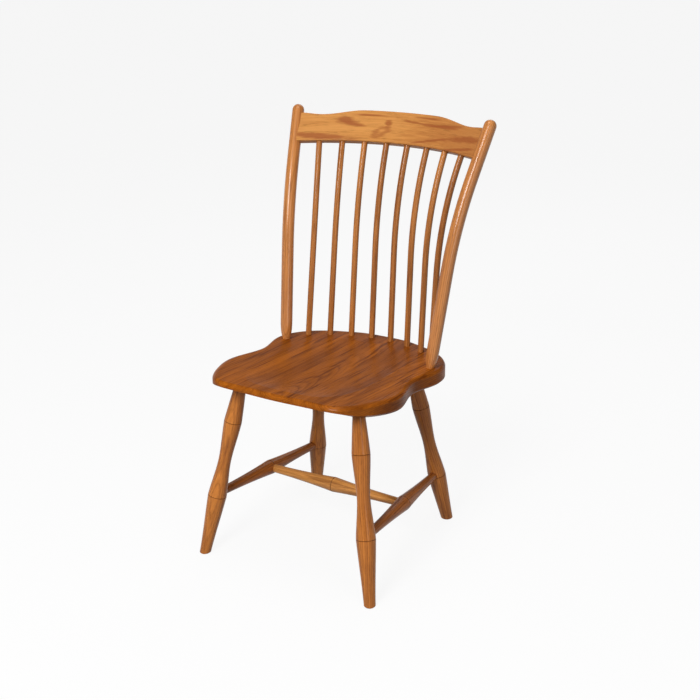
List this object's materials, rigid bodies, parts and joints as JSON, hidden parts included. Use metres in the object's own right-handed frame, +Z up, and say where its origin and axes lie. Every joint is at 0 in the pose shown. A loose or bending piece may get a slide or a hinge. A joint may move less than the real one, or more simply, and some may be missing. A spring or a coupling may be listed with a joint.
{
  "type": "spindle back dining chair",
  "caption": "Stained oak side chair with a saddled seat, turned splayed legs and stretchers, bent spindles between two posts and a curved crest rail.",
  "frame": {"origin": "bottom centre of the chair's box, on the floor", "axes": "+Z up, -Y towards the front of the chair, +X to the right for a viewer who faces its front"},
  "size_m": [0.5362, 0.5952, 0.958],
  "materials": {
    "seat": "satin lacquer over stained oak",
    "legs": "satin lacquer over stained oak",
    "stretchers": "satin lacquer over stained oak",
    "posts": "satin lacquer over stained oak",
    "spindles": "satin lacquer over stained oak",
    "crest": "satin lacquer over stained oak"
  },
  "bodies": {
    "root": {"seat_board_1": "seat", "seat_board_2": "seat", "seat_board_3": "seat", "seat_board_4": "seat", "seat_board_5": "seat", "leg_front_left": "legs", "leg_front_right": "legs", "leg_back_left": "legs", "leg_back_right": "legs", "stretcher_left": "stretchers", "stretcher_right": "stretchers", "stretcher_cross": "stretchers", "post_left": "posts", "post_right": "posts", "spindle_1": "spindles", "spindle_2": "spindles", "spindle_3": "spindles", "spindle_4": "spindles", "spindle_5": "spindles", "spindle_6": "spindles", "spindle_7": "spindles", "spindle_8": "spindles", "crest_rail": "crest"}
  },
  "joints": []
}
